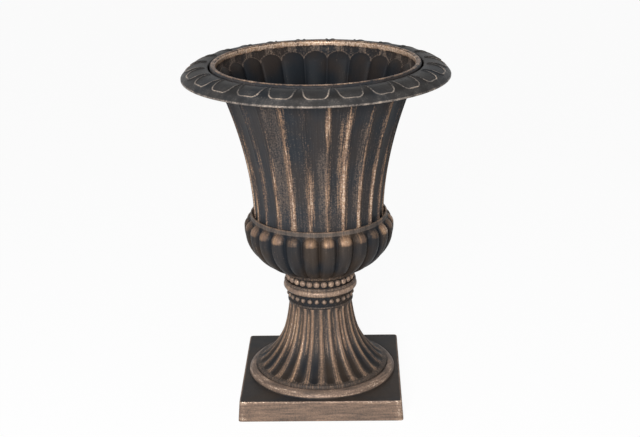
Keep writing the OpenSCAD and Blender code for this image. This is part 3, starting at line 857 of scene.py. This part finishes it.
core = [(COLLAR_BORE_R, Z_STEM_TOP), (COLLAR_R - 0.5, Z_STEM_TOP), (COLLAR_R, Z_STEM_TOP + 0.4)]
core += arc(COLLAR_R - 0.8, Z_STEM_TOP + 3.2, FOOT_ROLL, -73, 73, 14)
core += [(COLLAR_R, Z_STEM_TOP + 6.2), (COLLAR_R, Z_BAND - BAND_ROLL)]
core += arc(COLLAR_R + 2.75, Z_BAND, BAND_ROLL, -90, 63, 22)
core += arc(COLLAR_R + 4.85, Z_BAND + 7.1, FILLET_ROLL, -79, 226, 22)
core += [(COLLAR_R, Z_BAND + BAND_ROLL), (COLLAR_R, Z_CUP - 4.4), (COLLAR_R - 0.4, Z_CUP - 4),
         (COLLAR_TOP_R, Z_CUP - 4), (COLLAR_TOP_R, Z_CUP), (COLLAR_SPIGOT_R, Z_CUP),
         (COLLAR_SPIGOT_R, Z_CUP + 4), (COLLAR_BORE_R, Z_CUP + 4)]
points, faces = turned(core, columns=192, turn=FRONT, closed=True)
collar_core = new_piece("collar_core", points, faces)
collar_core.data.materials.append(collar_paint)
print("Collar core:", len(faces), "faces")

# %% The ring tree
def ring_tree():
    """A sphere on each of Count points round the axis, or a cylinder if Length is above 0."""
    t, (seed, count, turn, radius, height, size, length, paint) = new_group(
        "Ring", "Count", "Turn", "Radius", "Height", "Size", "Length")
    number = t.node("FunctionNodeFloatToInt", {"rounding_mode": "ROUND"}, {0: count})
    circle = t.node("GeometryNodeMeshCircle", None, {"Vertices": number, "Radius": radius})
    placed = t.node("GeometryNodeTransform", None, {
        "Geometry": circle, "Translation": t.join(0.0, 0.0, height),
        "Rotation": t.join(0.0, 0.0, turn)})
    ball = t.node("GeometryNodeMeshUVSphere", None, {
        "Segments": 20, "Rings": 12, "Radius": size / 2})
    post = t.node("GeometryNodeMeshCylinder", None, {
        "Vertices": 32, "Radius": size / 2, "Depth": length.math("MAXIMUM", 1e-4)})
    is_long = t.node("FunctionNodeCompare", {"data_type": "FLOAT", "operation": "GREATER_THAN"},
                     {0: length, 1: 0.0})
    shape = t.node("GeometryNodeSwitch", {"input_type": "GEOMETRY"}, {
        "Switch": is_long, "False": ball, "True": post})
    rings = t.node("GeometryNodeInstanceOnPoints", None, {"Points": placed, "Instance": shape})
    return end_group(t, rings, paint)


RING = ring_tree()


def ring_of(name, count, turn, radius, height, size, material, length=0.0):
    seed = new_piece(name + "_seed", [(0, 0, 0)], [])
    return grown(seed, RING, {
        "Count": float(count), "Turn": turn, "Radius": radius * MM, "Height": height * MM,
        "Size": size * MM, "Length": length * MM, "Material": material}, name)


def beads(name, radius, height, size):
    return ring_of(name, BEADS, FRONT + math.pi / BEADS, radius, height, size, collar_paint)


upper_beads = beads("collar_upper_beads", COLLAR_R + 0.1, Z_CUP - 9.4, 10.8)
lower_beads = beads("collar_lower_beads", COLLAR_R - 1.1, Z_STEM_TOP + 13.66, 9.6)
for part in (collar_core, upper_beads, lower_beads):
    fit_out(part, "collar_bronze", "collar")

# %% [markdown]
# ## The rim
#
# The rim is a curled brim that drops over the lip, with 24 leaves on its back. Each leaf is only
# an outline: a raised border round a tongue that narrows a little to a round-cornered tip. The
# distance to such a tongue's edge is a short formula, so a tree raises the border with it, and
# the paint uses it again to leave the border pale, as a brush does.

# %% The leaf's formula
LEAF_TIP = 0.196
LEAF_ROOT = 0.1661
LEAF_ROOT_HALF = 0.02092
LEAF_TAPER = math.radians(8)
LEAF_CORNER = 0.009
LEAF_BORDER = 0.0024


def leaf_distance(t, place):
    """Distance to the nearest leaf's edge, below 0 inside the leaf."""
    radius = turned_radius(t, place)
    turned_by = (t.angle(place) - FRONT) * (FLUTES / (2 * math.pi)) + 0.5
    angle = (turned_by.math("FRACT") - 0.5) * (2 * math.pi / FLUTES)
    reach = radius * angle.math("COSINE")
    half = LEAF_ROOT_HALF - (reach - LEAF_ROOT) * math.tan(LEAF_TAPER)
    out = reach - (LEAF_TIP - LEAF_CORNER)
    side = (abs(radius * angle.math("SINE")) - half) * math.cos(LEAF_TAPER) + LEAF_CORNER
    out_on, side_on = out.math("MAXIMUM", 0.0), side.math("MAXIMUM", 0.0)
    corner = (out_on * out_on + side_on * side_on).math("SQRT")
    return corner + out.math("MAXIMUM", side).math("MINIMUM", 0.0) - LEAF_CORNER


def leaf_border(t, place, soft):
    """1 on a leaf's border and 0 beside it, with soft edges of the given width."""
    inside = -1.0 * leaf_distance(t, place)
    return inside.ramp(-soft, soft) * (1 - inside.ramp(LEAF_BORDER - soft, LEAF_BORDER + soft))


def leaf_tree():
    t, (shell, relief, paint) = new_group("Leaves", "Relief")
    place = t.node("GeometryNodeInputPosition")
    lift = leaf_border(t, place, 0.0007) * relief * named(t, "top")
    normal = t.node("GeometryNodeInputNormal")
    offset = t.node("ShaderNodeVectorMath", {"operation": "SCALE"}, {0: normal, "Scale": lift})
    values = {"Geometry": shell, "Offset": offset}
    return end_group(t, t.node("GeometryNodeSetPosition", None, values), paint)


LEAVES = leaf_tree()
print("Leaf tree:", len(LEAVES.nodes), "nodes")

# %% The rim's paint
RIM_FALL = 16.5
Z_RIM_EDGE = Z_CREST - RIM_FALL


def rim_brush(t, place):
    z = t.height(place)
    radius = turned_radius(t, place)
    border = leaf_border(t, place, 0.0006) * radius.ramp(0.164, 0.176)
    gap = leaf_distance(t, place).ramp(-0.0002, 0.0006) * (1 - radius.ramp(0.190, 0.197))
    brim = radius.ramp(0.176, 0.198)
    edge = radius.ramp(0.1995, 0.2015) * (
        1 - z.ramp((Z_RIM_EDGE + 0.2) * MM, (Z_RIM_EDGE + 1.6) * MM))
    tip = radius.ramp(0.180, 0.193)
    mottle = t.noise(place, 60.0, 3.0).ramp(0.35, 0.65)
    copper = border * (0.36 + tip * 0.26) + edge * 0.5
    wipe = (0.02 + brim * 0.12 + mottle * 0.1) * (1 - gap * 0.8) + border * 0.4 + edge * 0.3
    film = (0.06 + brim * 0.2 + mottle * 0.12) * (1 - gap * 0.8)
    return copper, wipe, film


rim_paint = bronze("bronze_rim", rim_brush, lambda t, place: polar(t, place, 12, 60),
                   speckle=0.8, umber=paint(44, 42, 41), film=paint(92, 90, 89),
                   wipe=paint(112, 106, 101), copper=paint(176, 162, 150),
                   rose=paint(158, 146, 137))

# %% The rim's mesh
CREST_R, RIM_R, RIM_WALL, EDGE_HEIGHT = 170, 202.5, 3.5, 2
HEM_R, HEM_ROLL = 162.85, 1.75
SKIRT_IN_R, SKIRT_OUT_R = 161.1, 164.6
BRIM_REACH, INWARD_REACH = RIM_R - CREST_R, 7.9
BRIM_RADIUS = (BRIM_REACH ** 2 + RIM_FALL ** 2) / (2 * RIM_FALL)
UNDER_RADIUS = BRIM_RADIUS - RIM_WALL
BRIM_Z = Z_CREST - BRIM_RADIUS
COLUMNS_PER_LEAF = 54
LEAF_RELIEF, RELIEF_FROM_R = 0.0012, 166
BOSSES, BOSS_R, BOSS_SIZE = 8, 168.6, 10

top_start = math.degrees(math.acos(BRIM_REACH / BRIM_RADIUS))
top_stop = 180 - math.degrees(math.acos(INWARD_REACH / BRIM_RADIUS))
under_stop = 180 - math.degrees(math.acos((CREST_R - SKIRT_OUT_R) / UNDER_RADIUS))
under_start = math.degrees(math.asin((Z_RIM_EDGE - EDGE_HEIGHT - BRIM_Z) / UNDER_RADIUS))
skirt = [(SKIRT_IN_R, Z_FLANGE + 0.3), (SKIRT_IN_R + 0.3, Z_FLANGE), (SKIRT_OUT_R - 0.3, Z_FLANGE),
         (SKIRT_OUT_R, Z_FLANGE + 0.3), (SKIRT_OUT_R, Z_CREST - 4.4)]
underside = arc(CREST_R, BRIM_Z, UNDER_RADIUS, under_stop, under_start, 10)
edge = [(RIM_R - 0.3, Z_RIM_EDGE - EDGE_HEIGHT), (RIM_R, Z_RIM_EDGE - EDGE_HEIGHT + 0.3),
        (RIM_R, Z_RIM_EDGE - 0.1)]
top = arc(CREST_R, BRIM_Z, BRIM_RADIUS, top_start, top_stop, 50)
hem = arc(HEM_R, Z_CREST - 2.75, HEM_ROLL, 115, 180, 4)
under = skirt + underside + edge
rim_rows = under + top + hem
points, faces = turned(rim_rows, FLUTES * COLUMNS_PER_LEAF, FRONT, closed=True)
plain = new_piece("rim_plain", points, faces)
on_top = [0.0] * len(under) + [float(r > RELIEF_FROM_R) for r, z in top] + [0.0] * len(hem)
carry(plain, top=np.repeat(on_top, FLUTES * COLUMNS_PER_LEAF))
rim = grown(plain, LEAVES, {"Relief": LEAF_RELIEF, "Material": rim_paint}, "rim_skin")
boss_top = Z_CREST - 2.5
bosses = ring_of("rim_bosses", BOSSES, FRONT, BOSS_R, (Z_FLANGE + boss_top) / 2, BOSS_SIZE,
                 rim_paint, length=boss_top - Z_FLANGE)
for part in (rim, bosses):
    fit_out(part, "rim_bronze", "rim")

# %% [markdown]
# ## The plinth
#
# The CAD plinth already has the right shape, with its drafted sides, soft top edge and round
# moulding, so it stays and only gets its finish. The painter drags the brush along the sides, so
# its streaks lie level there, and the top and side edges take the most copper. The flat top is
# left near-black and matt, and the moulding is brushed all round.

# %% The plinth's paint
def plinth_space(t, place):
    x, y, z = t.split(place)
    return t.join(x * 26, y * 26, z * 330)


def plinth_brush(t, place):
    x, y, z = t.split(place)
    wide = abs(x).math("MAXIMUM", abs(y))
    narrow = abs(x).math("MINIMUM", abs(y))
    side = wide.ramp(0.1214, 0.1236) * (1 - z.ramp(0.0325, 0.0335))
    corner = narrow.ramp(0.112, 0.120)
    upper = z.ramp(0.0270, 0.0300)
    moulding = z.ramp(0.0325, 0.0350) * turned_radius(t, place).ramp(0.104, 0.107)
    copper = side * (0.44 + corner * 0.16 + upper * 0.12) + moulding * 0.57
    wipe = side * 0.7 + moulding * 0.3
    return copper, wipe, side * 0.8 + moulding * 0.5 + 0.24


plinth_paint = bronze("bronze_plinth", plinth_brush, plinth_space, speckle=0.75,
                      wipe=paint(118, 99, 86), copper=paint(164, 137, 118),
                      rose=paint(146, 123, 108))


def refinish(node, material):
    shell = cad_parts[node]
    for place in shell.material_slots:
        place.material = material
    print(node, "takes", material.name)


refinish("plinth", plinth_paint)

# %% [markdown]
# ## The hidden hardware
#
# A zinc-plated bolt, its washers and wing nut clamp the stack, small screws hold the rim, and
# rubber plugs close the drain holes. They show only from above or below, but each has a finish:
# zinc is a bluish metal with faint cloudy passivation, rubber is black with a fine bloom.

# %% Zinc and rubber
def plain_finish(name, first, second, scale, rough, metal, grain):
    """Two colours in clouds of the given scale, and a fine grain that varies the gloss."""
    material, t = empty_material(name)
    place = t.node("ShaderNodeTexCoord", None, None, 3)
    cloud = t.noise(place, scale, 3.0)
    fine = t.noise(place, grain, 2.0)
    relief = t.node("ShaderNodeBump", None, {"Strength": 0.15, "Distance": 0.0004, "Height": fine})
    surface = t.node("ShaderNodeBsdfPrincipled", None, {
        "Base Color": t.mix(cloud.ramp(0.35, 0.65), first, second), "Metallic": metal,
        "Roughness": rough + (fine - 0.5) * 0.2, "Normal": relief})
    t.node("ShaderNodeOutputMaterial", None, {"Surface": surface})
    return material


zinc = plain_finish("zinc_plate", paint(176, 180, 184), paint(150, 152, 148), scale=120.0,
                    rough=0.34, metal=0.9, grain=900.0)
rubber = plain_finish("black_rubber", paint(30, 30, 31), paint(44, 43, 42), scale=60.0,
                      rough=0.72, metal=0.0, grain=1200.0)
for node in ("tie_bolt", "head_washer", "base_washer", "wing_nut", "rim_screws"):
    refinish(node, zinc)
for node in ("seal_washer", "drain_plug_1", "drain_plug_2", "drain_plug_3", "drain_plug_4"):
    refinish(node, rubber)

# %% [markdown]
# ## Floor and light
#
# The photograph has a white ground and soft light that comes from the front, a little from the
# left, so the urn's flanks and its inside fall off to dark. A large floor takes the shadow; its
# material looks brighter to the camera than to the urn, so the ground turns white while no extra
# light falls on the object. Big area lamps keep shadows soft.

# %% Floor
def seen_directly(t):
    """1 for rays from the camera, and for glossy and transmitted ones; 0 for all others."""
    camera_ray, glossy_ray, transmission_ray = (
        t.node("ShaderNodeLightPath", None, None, i) for i in (0, 3, 6))
    return (camera_ray + glossy_ray + transmission_ray).clamp()


def white_ground():
    material, t = empty_material("white_ground")
    seen = seen_directly(t)
    matt = t.node("ShaderNodeBsdfDiffuse", None, {"Color": (0.6, 0.6, 0.6, 1)})
    glow = t.node("ShaderNodeEmission", None, {"Color": (1, 1, 1, 1), "Strength": 1.08})
    surface = t.node("ShaderNodeMixShader", None, {0: seen * 0.88, 1: matt, 2: glow})
    t.node("ShaderNodeOutputMaterial", None, {"Surface": surface})
    return material


floor = new_piece("floor", [(-9, -9, 0), (9, -9, 0), (9, 9, 0), (-9, 9, 0)], [(0, 1, 2, 3)])
floor.location.z = -0.0002
floor.data.materials.append(white_ground())

# %% World and lamps
def studio_world():
    world = bpy.data.worlds.new("studio")
    world.use_nodes = True
    world.node_tree.nodes.clear()
    t = Tree(world.node_tree)
    seen = seen_directly(t)
    room = t.node("ShaderNodeBackground", None, {"Color": (1, 1, 1, 1), "Strength": 0.06})
    ground = t.node("ShaderNodeBackground", None, {"Color": (1, 1, 1, 1), "Strength": 1.0})
    both = t.node("ShaderNodeMixShader", None, {0: seen, 1: room, 2: ground})
    t.node("ShaderNodeOutputWorld", None, {"Surface": both})
    return world


def softbox(name, place, target, width, height, watts):
    lamp = bpy.data.lights.new(name, "AREA")
    lamp.shape = "RECTANGLE"
    lamp.size, lamp.size_y = width, height
    lamp.energy = watts
    holder = bpy.data.objects.new(name, lamp)
    bpy.context.collection.objects.link(holder)
    holder.location = place
    holder.rotation_euler = (Vector(target) - Vector(place)).to_track_quat("-Z", "Y").to_euler()
    print(name, watts, "W")


bpy.context.scene.world = studio_world()
softbox("key", (-0.3, -2.2, 1.05), target=(0, 0, 0.3), width=0.8, height=0.7, watts=56)
softbox("top", (0.0, -0.5, 2.3), target=(0, 0, 0.4), width=1.2, height=0.9, watts=3)
bpy.context.scene.view_settings.view_transform = "Standard"
